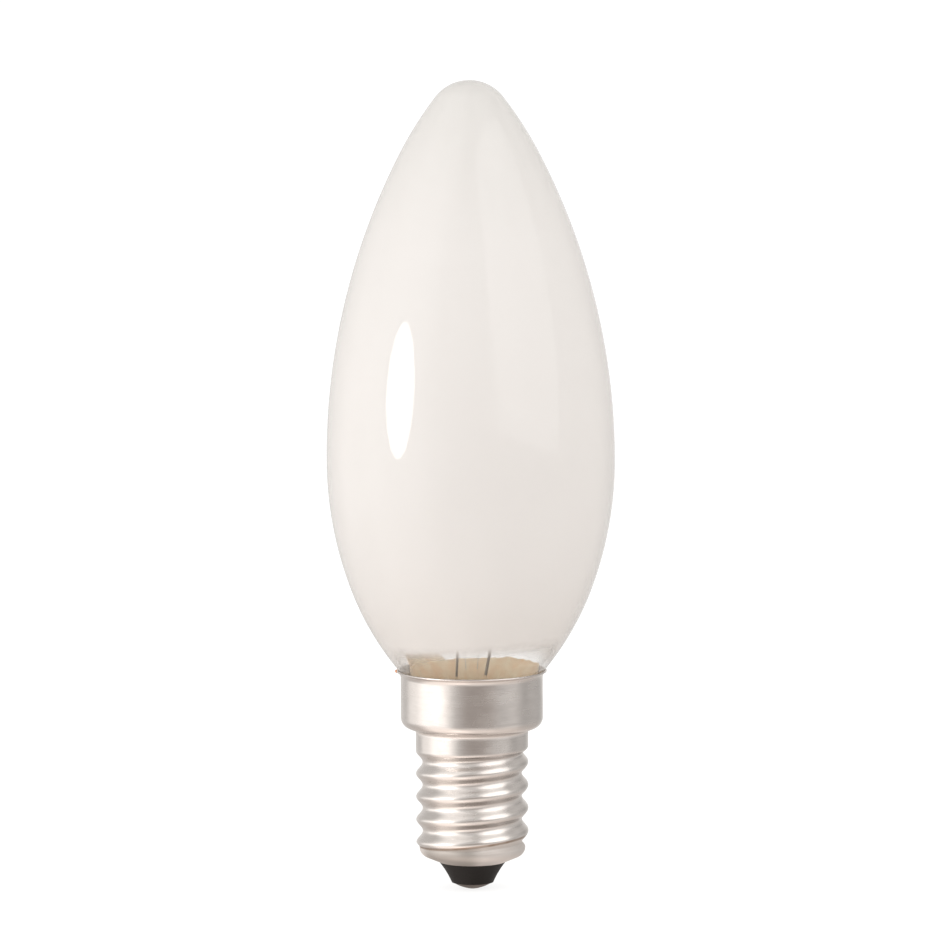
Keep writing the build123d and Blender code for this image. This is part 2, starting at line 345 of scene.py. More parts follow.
def speckle(vector, size, detail=2.0, roughness=0.5):
    """Soft noise from 0 to 1, with lumps of about this size."""
    inputs = {"Vector": vector, "Scale": 1 / size, "Detail": detail, "Roughness": roughness}
    return vector.node("ShaderNodeTexNoise", inputs=inputs)


def bumped(height, depth):
    """A normal for a surface that rises by this depth where the height is 1."""
    return height.node("ShaderNodeBump", inputs={"Strength": 1.0, "Distance": depth, "Height": height})


def mix_shaders(share, first, second):
    return first.node("ShaderNodeMixShader", inputs={0: share, 1: first, 2: second})


def mirrored(start):
    """How much of the light a glass face mirrors: little straight on, all of it edge on."""
    facing = start.node("ShaderNodeLayerWeight", inputs={"Blend": 0.5}, out="Facing")
    return glass_mirror + (1 - glass_mirror) * facing**5


def wear(finish, shader):
    """Ends a finish with its output."""
    shader.node("ShaderNodeOutputMaterial", inputs={"Surface": shader})
    return finish


print("helpers: new_finish, place, scaled, speckle, bumped, mix_shaders, mirrored, wear")

# %% [markdown]
# ## Floor
# The bulb stands on a plain white floor that bends up into a wall far behind it, so that no horizon
# shows. Only the camera sees the floor: what the cap mirrors below it is the warm table of the
# surroundings. A plane with a bend modifier would do, but a turned floor looks the same from every side.

# %% Floor
floor_reach = 3.0
floor_bend = 0.8
floor_bend_steps = 6
floor_wall = 2.2
floor_sides = 64
bend_turns = [pi / 2 * step / floor_bend_steps for step in range(floor_bend_steps + 1)]
floor_line = [(floor_reach + floor_bend * sin(turn), floor_bend * (1 - cos(turn))) for turn in bend_turns]
floor_line.append((floor_reach + floor_bend, floor_wall))
spokes = [2 * pi * k / floor_sides for k in range(floor_sides)]
corners = [(0, 0, 0)]
for reach, height in floor_line:
    corners += [(reach * cos(spoke), reach * sin(spoke), height) for spoke in spokes]
faces = [(0, 1 + k, 1 + (k + 1) % floor_sides) for k in range(floor_sides)]
for ring in range(len(floor_line) - 1):
    low = 1 + ring * floor_sides
    for k in range(floor_sides):
        after = (k + 1) % floor_sides
        faces.append((low + k, low + floor_sides + k, low + floor_sides + after, low + after))
floor_mesh = bpy.data.meshes.new("floor")
floor_mesh.from_pydata(corners, [], faces)
floor = bpy.data.objects.new("floor", floor_mesh)
bpy.context.scene.collection.objects.link(floor)
floor.visible_diffuse = False
floor.visible_glossy = False
floor.visible_transmission = False
floor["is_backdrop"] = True
print(f"floor: {len(faces)} faces")

# %% White paper for the floor
paper_tone = (0.3, 0.3, 0.3, 1)
paper_glow = 0.82
paper, start = new_finish("white_paper")
white = start.node("ShaderNodeBsdfDiffuse", inputs={"Color": paper_tone})
shine = start.node("ShaderNodeEmission", inputs={"Color": (1, 1, 1, 1), "Strength": paper_glow})
wear(paper, start.node("ShaderNodeAddShader", inputs={0: white, 1: shine}))
floor_mesh.materials.append(paper)
print("the floor is", paper.name)

# %% [markdown]
# ## Glass finishes
# The bulb is frosted on its inside: the outer face is smooth and glossy, and the light is scattered just
# below it. The neck was left clear, with an uneven lower edge to the frost. A refracting shader would be
# the literal way, but a 0.6 mm wall hardly bends light, and lamps don't shine through one without noise.
# Here the outer face carries both layers: a mirror that grows towards the edges, and under it a milky
# layer that sends light back and lets light through. Below the frost's edge that layer is clear. The
# inner face and the stem are clear glass. Soft clouds keep the milk from looking like plain white
# paint, and the darker tip and neck are painted shade.

# %% Where the glass is frosted
frost_z = 30.4 * MM
frost_tilt = 0.06
frost_drop = 2.7 * MM
frost_dip = 0.9 * MM
frost_soft = 1.1 * MM
frost_ragged = 0.5 * MM
neck_haze = 0.11


def frost_share(spot):
    """1 where the glass is frosted, falling to a thin haze below the frost's uneven edge."""
    x, y, z = split(spot)
    edge = frost_z + frost_tilt * x - frost_drop * smooth_step(y, -7 * MM, -1 * MM)
    edge = edge - frost_dip * (1 - smooth_step(abs(y - 1 * MM), 1.5 * MM, 4.5 * MM))
    edge = edge + frost_ragged * (speckle(spot, 1.6 * MM, 3.0) - 0.5)
    return neck_haze + (1 - neck_haze) * smooth_step(z - edge, -frost_soft, frost_soft)


print(f"clear below {frost_z / MM:.1f} mm at the front and {(frost_z - frost_drop) / MM:.1f} mm behind")

# %% Frosted glass
milk_dark = (0.940, 0.930, 0.923, 1)
milk_light = (0.961, 0.953, 0.948, 1)
# The tip and neck tones are darker as painted shade.
milk_tip_painted_shade = (0.90, 0.895, 0.885, 1)
milk_neck_painted_shade = (0.89, 0.87, 0.85, 1)
milk_through = 0.6
tip_fade = 22 * MM
neck_fade = 12 * MM
clear_tint = (0.985, 0.983, 0.979, 1)


def milk(start, tone):
    """A layer of one tone that sends part of the light back and lets the rest through."""
    back = start.node("ShaderNodeBsdfDiffuse", inputs={"Color": tone})
    through = start.node("ShaderNodeBsdfTranslucent", inputs={"Color": tone})
    return mix_shaders(milk_through, back, through)


def frosted_glass():
    finish, start = new_finish("frosted_glass")
    spot = place(start)
    z = split(spot)[2]
    clouds = 0.8 * speckle(spot, 9 * MM) + 0.2 * speckle(spot, 0.12 * MM, 1.0)
    # Painted shade: the milk gets darker towards the tip and towards the neck.
    tip_painted_shade = smooth_step(z, tip_z - tip_fade, tip_z)
    neck_painted_shade = 0.5 * (1 - smooth_step(z, frost_z, frost_z + neck_fade))
    milky = mix_shaders(clouds, milk(start, milk_dark), milk(start, milk_light))
    milky = mix_shaders(tip_painted_shade, milky, milk(start, milk_tip_painted_shade))
    milky = mix_shaders(neck_painted_shade, milky, milk(start, milk_neck_painted_shade))
    clear = start.node("ShaderNodeBsdfTransparent", inputs={"Color": clear_tint})
    body = mix_shaders(frost_share(spot), clear, milky)
    waves = bumped(speckle(scaled(spot, 1, 1, 0.4), 14 * MM, 1.0), 0.03 * MM)
    gloss = start.node("ShaderNodeBsdfGlossy", inputs={"Roughness": 0.03, "Normal": waves})
    return wear(finish, mix_shaders(mirrored(start), body, gloss))


frosted_finish = frosted_glass()
print("finish:", frosted_finish.name)

# %% Clear glass
stem_tint = (0.992, 0.994, 0.99, 1)
lining_gloss = 0.5
stem_gloss = 0.1


def clear_glass(name, tint, gloss_share):
    finish, start = new_finish(name)
    clear = start.node("ShaderNodeBsdfTransparent", inputs={"Color": tint})
    waves = bumped(speckle(place(start), 3 * MM, 1.0), 0.02 * MM)
    gloss = start.node("ShaderNodeBsdfGlossy", inputs={"Roughness": 0.04, "Normal": waves})
    return wear(finish, mix_shaders(mirrored(start) * gloss_share, clear, gloss))


lining_finish = clear_glass("clear_lining", clear_tint, lining_gloss)
stem_finish = clear_glass("stem_glass", stem_tint, stem_gloss)
print("finishes:", lining_finish.name, stem_finish.name)

# %% [markdown]
# ## Cap finish
# The cap is thin aluminium sheet, drawn and rolled on a spinning former. That leaves faint rings round it
# and a little waviness. The roller burnishes the roots of the thread, and handling polishes its crests a
# little. The brown in the roots is partly dirt and partly painted shade, thinned where the key lamp's
# highlight falls. A lighter band at the shoulder's corner is a painted highlight. The ring at the base stays
# dull, is painted darker where the key lamp's highlight falls, and has a brown painted shadow in the crease
# above it on the front half. A radius could pick out the roots, but where the thread runs out they are no
# deeper than the crests. So the finish follows the winding: height in turns, less the angle in turns, is
# whole on a crest and half way between two whole numbers in a root.

# %% Sizes of the thread
thread_crest_r = 6.85 * MM
thread_depth = 0.8 * MM
thread_pitch = 2.82 * MM
thread_turns = 4.45
thread_start = radians(100)
base_hole_r = 4.1 * MM
base_angle = radians(23)
base_bend = 1.15 * MM
mean_r = thread_crest_r - thread_depth / 2
base_run = (mean_r - base_bend * (1 - sin(base_angle)) - base_hole_r) / cos(base_angle)
thread_z = base_z + base_run * sin(base_angle) + base_bend * cos(base_angle)
waist_z = thread_z + thread_pitch * thread_turns
waist_h = 1.65 * MM
print(f"thread from {thread_z / MM:.2f} to {waist_z / MM:.2f} mm")

# %% Marks that follow the winding
line_stretch = 0.05
line_width = 0.14 * MM


def angle_round(spot):
    """The angle round the axis."""
    x, y, _ = split(spot)
    return spot.maths("ARCTAN2", y, x)


def winding_marks(spot):
    """How far a point is from a root, in turns, and 1 in the thread but 0 beyond it."""
    z = split(spot)[2]
    winding = (z - thread_z) / thread_pitch - (angle_round(spot) - thread_start) / (2 * pi)
    off_root = abs(spot.maths("FRACT", winding) - 0.5)
    begun = smooth_step(z, thread_z - 0.5 * MM, thread_z)
    ended = smooth_step(z, waist_z - MM, waist_z)
    return off_root, begun * (1 - ended)


def rolled_rings(spot, off_root, in_thread):
    """Fine lines that wind with the thread and run level beyond it."""
    x, y, z = split(spot)
    beyond = abs(z - (thread_z + waist_z) / 2) - (waist_z - thread_z) / 2
    across = beyond + in_thread * (off_root * thread_pitch - beyond)
    drawn_out = {"X": x * line_stretch, "Y": y * line_stretch, "Z": across}
    lines = spot.node("ShaderNodeCombineXYZ", inputs=drawn_out)
    return speckle(lines, line_width, 3.0, 0.6)


print(f"rolled lines about {line_width / MM:.2f} mm apart")

# %% Marks of the base ring
ring_h = 0.92 * MM
ring_tilt = 0.105


def base_marks(spot):
    """1 on the dull ring at the base, and 1 in the crease above it on the front half, where a shadow is
    painted.
    """
    x, y, z = split(spot)
    above = z - (thread_z + ring_h + ring_tilt * x)
    ring = 1 - smooth_step(above, -0.15 * MM, 0.1 * MM)
    front = smooth_step(0 - y, -2 * MM, 2 * MM)
    # The crease gets a painted shadow, on the front half only.
    crease = front * (1 - smooth_step(abs(above), 0.05 * MM, 0.25 * MM))
    return ring, crease


print(f"the dull ring reaches {(thread_z + ring_h) / MM:.2f} mm")

# %% Rolled aluminium
sheet_dark = (0.54, 0.503, 0.478, 1)
sheet_light = (0.69, 0.652, 0.627, 1)
# Polish on crests and roots, and a painted highlight at the shoulder's corner.
sheet_polish_and_highlight = (0.80, 0.762, 0.735, 1)
ring_dull = (0.66, 0.625, 0.60, 1)
# The base ring's tone where it is painted darker as shade.
ring_painted_shade = (0.42, 0.39, 0.365, 1)
# Brown for dirt in the roots and for painted shadow.
dirt_and_shadow_brown = (0.24, 0.165, 0.115, 1)
# The angle round the axis where the key lamp's highlight falls towards the camera.
key_highlight_angle = radians(-120)
corner_z = waist_z + waist_h + 0.2 * MM


def rolled_aluminium():
    finish, start = new_finish("rolled_aluminium")
    spot = place(start)
    off_root, in_thread = winding_marks(spot)
    rings = rolled_rings(spot, off_root, in_thread)
    ring, crease = base_marks(spot)
    root = in_thread * (1 - smooth_step(off_root, 0.03, 0.16))
    crest = in_thread * smooth_step(off_root, 0.36, 0.47)
    # A painted highlight: a lighter band at the shoulder's corner.
    corner = 1 - smooth_step(abs(split(spot)[2] - corner_z), 0.1 * MM, 0.45 * MM)
    # Marks the side where the key lamp's highlight falls.
    key_highlight_side = smooth_step(start.maths("COSINE", angle_round(spot) - key_highlight_angle), 0.72, 0.94)
    smear = speckle(scaled(spot, 1, 1, 2.2), 1.5 * MM, 2.5)
    haze = smooth_step(speckle(scaled(spot, 1, 1, 1.6), 3.5 * MM, 1.5), 0.3, 0.75)
    dents = speckle(spot, 2.4 * MM)
    # Brown in the roots is partly dirt and partly painted shade, and thins where the key lamp's highlight
    # falls.
    root_dirt_and_shade = root * (0.45 + 0.55 * smear) * (1 - 0.9 * key_highlight_side)
    # Painted shadow in the crease, together with the dirt and shade of the roots.
    dirt_and_painted_shadow = 0.1 * root_dirt_and_shade + 0.9 * crease * (0.3 + smear)
    bright = blend(0.4 * smear + 0.6 * rings, sheet_dark, sheet_light)
    # Crests and roots are polished, and the corner band is a painted highlight.
    polish_and_highlight = blend(0.3 * crest + 0.7 * root + 0.6 * corner, bright, sheet_polish_and_highlight)
    # The base ring is painted darker where the key lamp's highlight falls.
    dull = blend(key_highlight_side, ring_dull, ring_painted_shade)
    roughness = 0.16 + 0.06 * smear + 0.05 * rings + 0.08 * haze + 0.15 * root_dirt_and_shade
    inputs = {
        "Base Color": blend(dirt_and_painted_shadow, blend(ring, polish_and_highlight, dull), dirt_and_shadow_brown),
        "Metallic": 1.0,
        "Roughness": roughness + 0.35 * ring + 0.2 * corner,
        "Normal": bumped(rings * 0.7 + dents * 6.0, 0.004 * MM),
    }
    return wear(finish, start.node("ShaderNodeBsdfPrincipled", inputs=inputs))


cap_finish = rolled_aluminium()
print("finish:", cap_finish.name)

# %% [markdown]
# ## Small finishes
# The black glass under the cap is poured, so it is glossy but pitted. The contact is brass that was
# tinned and has gone dull and brown, and its tones are darker still as painted shade where it stands on
# the floor. The cement is a baked resin full of chalk. The wires are nickel-plated iron and molybdenum,
# the weld is copper, and the filament is drawn tungsten. Photographs of each could be wrapped round
# them, but at this size a noise that moves between a dark and a light tone tells them apart.

# %% Black glass
black_deep = (0.005, 0.004, 0.0036, 1)
black_dusty = (0.014, 0.0115, 0.010, 1)


def black_glass():
    finish, start = new_finish("black_glass")
    spot = place(start)
    dust = speckle(spot, 0.5 * MM, 4.0, 0.7)
    pits = smooth_step(speckle(spot, 0.22 * MM), 0.55, 0.75)
    inputs = {
        "Base Color": blend(dust, black_deep, black_dusty),
        "Roughness": 0.38 + 0.25 * dust + 0.15 * pits,
        "Specular IOR Level": 0.15,
        "Normal": bumped(dust * 0.6 - pits, 0.02 * MM),
    }
    return wear(finish, start.node("ShaderNodeBsdfPrincipled", inputs=inputs))


insulator_finish = black_glass()
print("finish:", insulator_finish.name)

# %% Baked cement
cement_brown = (0.93, 0.64, 0.36, 1)
cement_tan = (1.0, 0.87, 0.62, 1)
cement_chalk = (0.95, 0.88, 0.76, 1)


def baked_cement():
    finish, start = new_finish("baked_cement")
    spot = place(start)
    patches = smooth_step(speckle(scaled(spot, 1, 1, 0.4), 1.8 * MM, 3.0, 0.6), 0.3, 0.7)
    chalk = speckle(spot, 0.18 * MM, 3.0, 0.7)
    thin = smooth_step(split(spot)[2], rim_z + 0.3 * MM, rim_z + 1.1 * MM)
    baked = blend(patches, cement_brown, cement_tan)
    inputs = {
        "Base Color": blend(0.2 * chalk + 0.45 * thin, baked, cement_chalk),
        "Roughness": 0.75 + 0.2 * chalk,
        "Normal": bumped(patches + chalk * 0.6, 0.05 * MM),
    }
    return wear(finish, start.node("ShaderNodeBsdfPrincipled", inputs=inputs))


cement_finish = baked_cement()
print("finish:", cement_finish.name)

# %% Dull metals
# Each has a dark and a light tone, a roughness, and the size and depth of its patches.
metal_looks = {
    # The contact's tones are darker than dull tinned brass, as painted shade where it stands on the floor.
    "tinned_brass": ((0.055, 0.043, 0.037, 1), (0.19, 0.16, 0.145, 1), 0.34, 0.7 * MM, 0.02 * MM),
    "solder": ((0.13, 0.115, 0.108, 1), (0.28, 0.255, 0.24, 1), 0.32, 0.5 * MM, 0.03 * MM),
    "nickel_wire": ((0.17, 0.145, 0.12, 1), (0.34, 0.30, 0.26, 1), 0.35, 0.3 * MM, 0.005 * MM),
    "copper_weld": ((0.56, 0.22, 0.09, 1), (0.88, 0.50, 0.30, 1), 0.30, 0.25 * MM, 0.02 * MM),
    "drawn_tungsten": ((0.22, 0.22, 0.225, 1), (0.38, 0.38, 0.39, 1), 0.30, 0.1 * MM, 0.002 * MM),
    "molybdenum_wire": ((0.58, 0.56, 0.53, 1), (0.72, 0.70, 0.67, 1), 0.35, 0.2 * MM, 0.003 * MM),
}


def dull_metal(name, dark, light, roughness, patch, depth):
    """A metal that has lost its shine, in patches of this size."""
    finish, start = new_finish(name)
    spot = place(start)
    patches = speckle(spot, patch, 4.0, 0.65)
    fine = speckle(spot, patch / 6)
    inputs = {
        "Base Color": blend(patches, dark, light),
        "Metallic": 1.0,
        "Roughness": roughness + 0.2 * patches + 0.08 * fine,
        "Normal": bumped(patches + fine * 0.4, depth),
    }
    return wear(finish, start.node("ShaderNodeBsdfPrincipled", inputs=inputs))


metals = {name: dull_metal(name, *looks) for name, looks in metal_looks.items()}
print("finishes:", ", ".join(metals))

# %% [markdown]
# ## Drawing a profile
# Most of a bulb is turned: glass is blown in a spinning mould and the cap is spun from sheet. So a piece
# starts as a line drawn as radius and height, made of straight runs and tangent arcs. Complex numbers
# suit this well: a point is radius + height times i, a turn is a multiplication, and an inset line runs
# beside the first at a steady distance.

# %% Profiles from tangent runs and arcs
bend_step = radians(3.0)


def course(begin, heading, moves, inset=0.0, finest=bend_step):
    """Points along tangent moves, as complex numbers; an inset course runs further to the left."""
    ahead = np.exp(1j * heading)
    point = begin + inset * 1j * ahead
    points = [point]
    for kind, size, amount in moves:
        if kind == "run":
            points += [point + ahead * size * k / amount for k in range(1, amount + 1)]
        else:
            side = 1 if kind == "left" else -1
            centre = point + side * 1j * ahead * (size - side * inset)
            count = max(2, ceil(amount / finest))
            spokes = [np.exp(1j * side * amount * k / count) for k in range(1, count + 1)]
            points += [centre + (point - centre) * spoke for spoke in spokes]
            ahead = ahead * spokes[-1]
        point = points[-1]
    return points


def drawn(name, points, lining=()):
    """The profile as a mesh of points in the XZ plane; lining numbers the points of an inner face."""
    mesh = bpy.data.meshes.new(name)
    mesh.from_pydata([(p.real, 0, p.imag) for p in points], [], [])
    mark = mesh.attributes.new("lining", "FLOAT", "POINT")
    mark.data.foreach_set("value", [float(k in lining) for k in range(len(points))])
    return mesh


print("a quarter circle of 1 mm has", len(course(0, 0, [("left", MM, pi / 2)])), "points")

# %% [markdown]
# ## A tree that turns a profile, and rolls a thread into it
# A screw modifier could turn the line, but the cap also has a rolled thread, and a thread is one rule:
# each ring of the sheet moves sideways a little, and the direction of that shift winds round the axis
# once in each pitch. So one Geometry Nodes tree does both. It makes a sleeve with a ring for every
# profile point, gives each ring the radius and height of its point, adds the winding shift where there is
# a thread, and closes the seams. The shift grows over the first part of a turn and fades over the last
# part, as a rolled thread does. A plain turned piece has a depth of 0.

# %% Helpers for geometry trees
def new_tree(name, inputs):
    """An empty geometry tree with a geometry input and these named inputs."""
    tree = bpy.data.node_groups.new(name, "GeometryNodeTree")
    tree.interface.new_socket("Geometry", in_out="INPUT", socket_type="NodeSocketGeometry")
    for label, (kind, value) in inputs.items():
        socket = tree.interface.new_socket(label, in_out="INPUT", socket_type=kind)
        if value is not None:
            socket.default_value = value
    tree.interface.new_socket("Geometry", in_out="OUTPUT", socket_type="NodeSocketGeometry")
    return tree, Signal(tree)


def given(start, label):
    """One of the tree's named inputs."""
    return start.node("NodeGroupInput", out=label)


def sampled(profile, value, index, kind):
    """A value as it is at one point of the profile."""
    sample = {"Geometry": profile, "Value": value, "Index": index}
    return value.node("GeometryNodeSampleIndex", {"data_type": kind}, sample)


def with_material(shape, finish, chosen=True):
    inputs = {"Geometry": shape, "Material": finish, "Selection": chosen}
    return shape.node("GeometryNodeSetMaterial", inputs=inputs)


print("helpers: new_tree, given, sampled, with_material")

# %% Where a point goes, and how the surface is closed
weld_distance = 0.0005 * MM


def threaded_place(start, point, spoke):
    """Where a profile point goes at one spoke of the turn, with the thread's winding shift."""
    radius, _, height = split(point)
    across, along, _ = split(spoke)
    turn = (height - given(start, "Thread Foot")) / given(start, "Pitch")
    grown = smooth_step(turn, 0.0, given(start, "Run In"))
    left = smooth_step(given(start, "Turns") - turn, 0.0, given(start, "Run Out"), "SMOOTHERSTEP")
    shift = given(start, "Depth") / 2 * start.maths("MINIMUM", grown, left)
    angle = given(start, "Start Angle") + 2 * pi * turn
    moved = {
        "X": across * radius + shift * start.maths("COSINE", angle),
        "Y": along * radius + shift * start.maths("SINE", angle),
        "Z": height,
    }
    return start.node("ShaderNodeCombineXYZ", inputs=moved)


def closed_surface(start, shape):
    """Joins the seams, and shades smooth every edge that folds less than the crease angle."""
    seams = {"Geometry": shape, "Distance": weld_distance}
    joined = start.node("GeometryNodeMergeByDistance", inputs=seams)
    smooth = start.node("GeometryNodeSetShadeSmooth", {"domain": "FACE"}, {"Geometry": joined})
    fold = start.node("GeometryNodeInputMeshEdgeAngle")
    limit = {0: fold, 1: given(start, "Crease Angle")}
    gentle = start.node("FunctionNodeCompare", {"operation": "LESS_THAN"}, limit)
    edges = {"Geometry": smooth, "Shade Smooth": gentle}
    return start.node("GeometryNodeSetShadeSmooth", {"domain": "EDGE"}, edges)


print(f"seams closer than {weld_distance / MM} mm are joined")

# %% The turning tree
TURN_INPUTS = {
    "Segments": ("NodeSocketInt", 160),
    "Crease Angle": ("NodeSocketFloat", radians(35)),
    "Thread Foot": ("NodeSocketFloat", 0.0),
    "Pitch": ("NodeSocketFloat", MM),
    "Depth": ("NodeSocketFloat", 0.0),
    "Turns": ("NodeSocketFloat", 1.0),
    "Start Angle": ("NodeSocketFloat", 0.0),
    "Run In": ("NodeSocketFloat", 0.5),
    "Run Out": ("NodeSocketFloat", 0.5),
    "Face": ("NodeSocketMaterial", None),
    "Lining": ("NodeSocketMaterial", None),
}


def turning_tree():
    tree, start = new_tree("turn_profile", TURN_INPUTS)
    profile = given(start, "Geometry")
    count = start.node("GeometryNodeAttributeDomainSize", inputs={"Geometry": profile})
    sizes = {
        "Vertices": given(start, "Segments"),
        "Side Segments": count - 1,
        "Radius": 1.0,
        "Depth": 1.0,
    }
    sleeve = start.node("GeometryNodeMeshCylinder", {"fill_type": "NONE"}, sizes)
    spot = start.node("GeometryNodeInputPosition")
    ring = start.maths("ROUND", (split(spot)[2] + 0.5) * (count - 1))
    mark = start.node("GeometryNodeInputNamedAttribute", {"data_type": "FLOAT"}, {"Name": "lining"})
    kept = {"Geometry": sleeve, "Name": "lining", "Value": sampled(profile, mark, ring, "FLOAT")}
    marked = start.node("GeometryNodeStoreNamedAttribute", {"domain": "FACE"}, kept)
    target = threaded_place(start, sampled(profile, spot, ring, "FLOAT_VECTOR"), spot)
    shaped = start.node("GeometryNodeSetPosition", inputs={"Geometry": marked, "Position": target})
    closed = closed_surface(start, shaped)
    single = start.node("GeometryNodeRealizeInstances", inputs={"Geometry": closed})
    faced = with_material(single, given(start, "Face"))
    is_lining = start.node("FunctionNodeCompare", {"operation": "GREATER_THAN"}, {0: mark, 1: 0.5})
    lined = with_material(faced, given(start, "Lining"), is_lining)
    start.node("NodeGroupOutput", inputs={0: lined})
    return tree


turn_tree = turning_tree()
print("turning tree:", len(turn_tree.nodes), "nodes")

# %% [markdown]
# ## From a tree to a piece
# A modifier's inputs are set by the identifiers of its sockets, before the piece is first evaluated. The
# result is then kept as a plain mesh and the modifier goes, so that the piece is an ordinary object at
# the origin.

# %% Growing a piece
def grown_piece(name, seed, tree, **inputs):
    """The mesh that a tree makes from a seed mesh, as a plain object."""
    piece = bpy.data.objects.new(name, seed)
    bpy.context.scene.collection.objects.link(piece)
    maker = piece.modifiers.new("maker", "NODES")
    maker.node_group = tree
    named = {item.name: item.identifier for item in tree.interface.items_tree if item.in_out == "INPUT"}
    for label, value in inputs.items():
        maker[named[label.replace("_", " ")]] = value
    result = piece.evaluated_get(bpy.context.evaluated_depsgraph_get())
    piece.data = bpy.data.meshes.new_from_object(result)
    piece.data.name = name
    piece.modifiers.clear()
    return piece


def finished(piece, node):
    """The piece stands for a CAD node, and the CAD node is hidden."""
    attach(piece, "root")
    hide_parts(node)
    triangles = sum(len(face.vertices) - 2 for face in piece.data.polygons)
    print(f"{piece.name}: {triangles} triangles for {node}")


print("helpers: grown_piece, finished")

# %% [markdown]
# ## Glass envelope
# The envelope is blown, and its outline is seven tangent moves: the straight neck, the flare that sits in
# the lip, the hip, the belly, the long flank, the brow and the small tip. Hip and belly share the width
# that the lip leaves, and flank and brow share the width and height that the tip leaves: two equations,
# so two radii. The wall is even, so the inner face is the same course, inset by the wall.

# %% Sizes of the envelope
glass_wall = 0.6 * MM
crown_h = 46.05 * MM
tip_bend = 5.2 * MM
hip_lean = radians(20.7)
hip_share = 0.769
flank_slope = 1.355
tip_slope = 2.026
flank_lean = atan(flank_slope * bulb_r / crown_h)
tip_lean = atan(tip_slope * bulb_r / crown_h)
belly_sweep = (bulb_r - seat_r) / (1 - cos(hip_lean) + hip_share * (cos(hip_lean) - cos(lean)))
hip_sweep = hip_share * belly_sweep
shares = np.array([
    [1 - cos(flank_lean), cos(flank_lean) - cos(tip_lean)],
    [sin(flank_lean), sin(tip_lean) - sin(flank_lean)],
])
left_by_tip = [bulb_r - tip_bend * cos(tip_lean), crown_h - tip_bend * (1 - sin(tip_lean))]
flank_sweep, brow_sweep = np.linalg.solve(shares, left_by_tip)
print(f"radii in mm: belly {belly_sweep / MM:.1f}, flank {flank_sweep / MM:.1f}, brow {brow_sweep / MM:.1f}")

# %% The envelope
glass_segments = 160
glass_step = radians(1.2)
glass_moves = [
    ("run", neck_z - seal_z, 4),
    ("right", neck_sweep, lean),
    ("left", hip_sweep, lean - hip_lean),
    ("left", belly_sweep, hip_lean),
    ("left", flank_sweep, flank_lean),
    ("left", brow_sweep, tip_lean - flank_lean),
    ("left", tip_bend, pi / 2 - tip_lean),
]
outside = course(neck_r + 1j * seal_z, pi / 2, glass_moves, 0.0, glass_step)
inside = course(neck_r + 1j * seal_z, pi / 2, glass_moves, glass_wall, glass_step)
glass_profile = outside + inside[::-1] + outside[:1]
lining_points = range(len(outside), len(outside) + len(inside))
envelope = grown_piece(
    "glass_bulb", drawn("glass_profile", glass_profile, lining_points), turn_tree,
    Segments=glass_segments, Face=frosted_finish, Lining=lining_finish,
)
finished(envelope, "glass_envelope")

# %% [markdown]
# ## Screw shell
# The cap is one sheet: an inturned base that grips the black glass, the rolled thread, a plain waist, the
# shoulder, the collar and the flared lip. It could be a surface with a Solidify modifier, but the lip's
# outer edge curls tighter than its inside. So the profile is drawn once for the outside and once, inset
# by the sheet, for the inside, and the lip's edge is rounded between them. In the thread the profile is a
# straight line with many points, and the tree winds the thread into it.

# %% The cap's profile
run_in = 0.25
run_out = 0.45
rows_per_turn = 26
waist_bend = 0.35 * MM
shoulder_bend = 1.3 * MM
shoulder_angle = radians(20)
collar_r = collar_in_r + sheet
shoulder_reach = (waist_bend + shoulder_bend) * (1 - sin(shoulder_angle))
shoulder_run = (collar_r - thread_crest_r - shoulder_reach) / cos(shoulder_angle)


def ease(share):
    """The same easy curve from 0 to 1 that the tree uses where the thread runs out."""
    share = min(1, max(0, share))
    return share**3 * (10 - 15 * share + 6 * share**2)


def shell_course(inset, lip_moves):
    """One face of the sheet, from the base's hole to the lip."""
    base_moves = [("run", base_run, 3), ("left", base_bend, pi / 2 - base_angle)]
    base = course(base_hole_r + 1j * base_z, base_angle, base_moves, inset)
    rows = ceil(thread_turns * rows_per_turn)
    thread = []
    for row in range(1, rows):
        turn = thread_turns * row / rows
        radius = thread_crest_r - thread_depth / 2 * ease((thread_turns - turn) / run_out)
        thread.append(radius - inset + 1j * (thread_z + thread_pitch * turn))
    collar_moves = [
        ("run", waist_h, 3),
        ("right", waist_bend, pi / 2 - shoulder_angle),
        ("run", shoulder_run, 2),
        ("left", shoulder_bend, pi / 2 - shoulder_angle),
    ]
    collar = course(thread_crest_r + 1j * waist_z, pi / 2, collar_moves + lip_moves, inset)
    return base + thread + collar


print(f"collar radius {collar_r / MM:.2f} mm, shoulder {shoulder_run / MM:.2f} mm long")

# %% The cap
cap_segments = 176
curl_bend = 0.82 * MM
curl_turn = radians(65)
curl_foot = 0.62 * MM
edge_step = radians(20)
cap_outside = shell_course(0.0, [("run", collar_h + curl_foot, 12), ("right", curl_bend, curl_turn)])
cap_inside = shell_course(sheet, [("run", collar_h, 12), ("right", lip_bend - sheet, lean)])
edge_chord = cap_inside[-1] - cap_outside[-1]
edge_move = ("left", abs(edge_chord) / 2, pi)
lip_edge = course(cap_outside[-1], np.angle(edge_chord) - pi / 2, [edge_move], 0.0, edge_step)
cap_profile = cap_outside + lip_edge[1:-1] + cap_inside[::-1] + cap_outside[:1]
cap = grown_piece(
    "rolled_cap", drawn("cap_profile", cap_profile), turn_tree,
    Segments=cap_segments, Face=cap_finish, Lining=cap_finish, Thread_Foot=thread_z, Pitch=thread_pitch,
    Depth=thread_depth, Turns=thread_turns, Start_Angle=thread_start, Run_In=run_in, Run_Out=run_out,
)
finished(cap, "screw_shell")

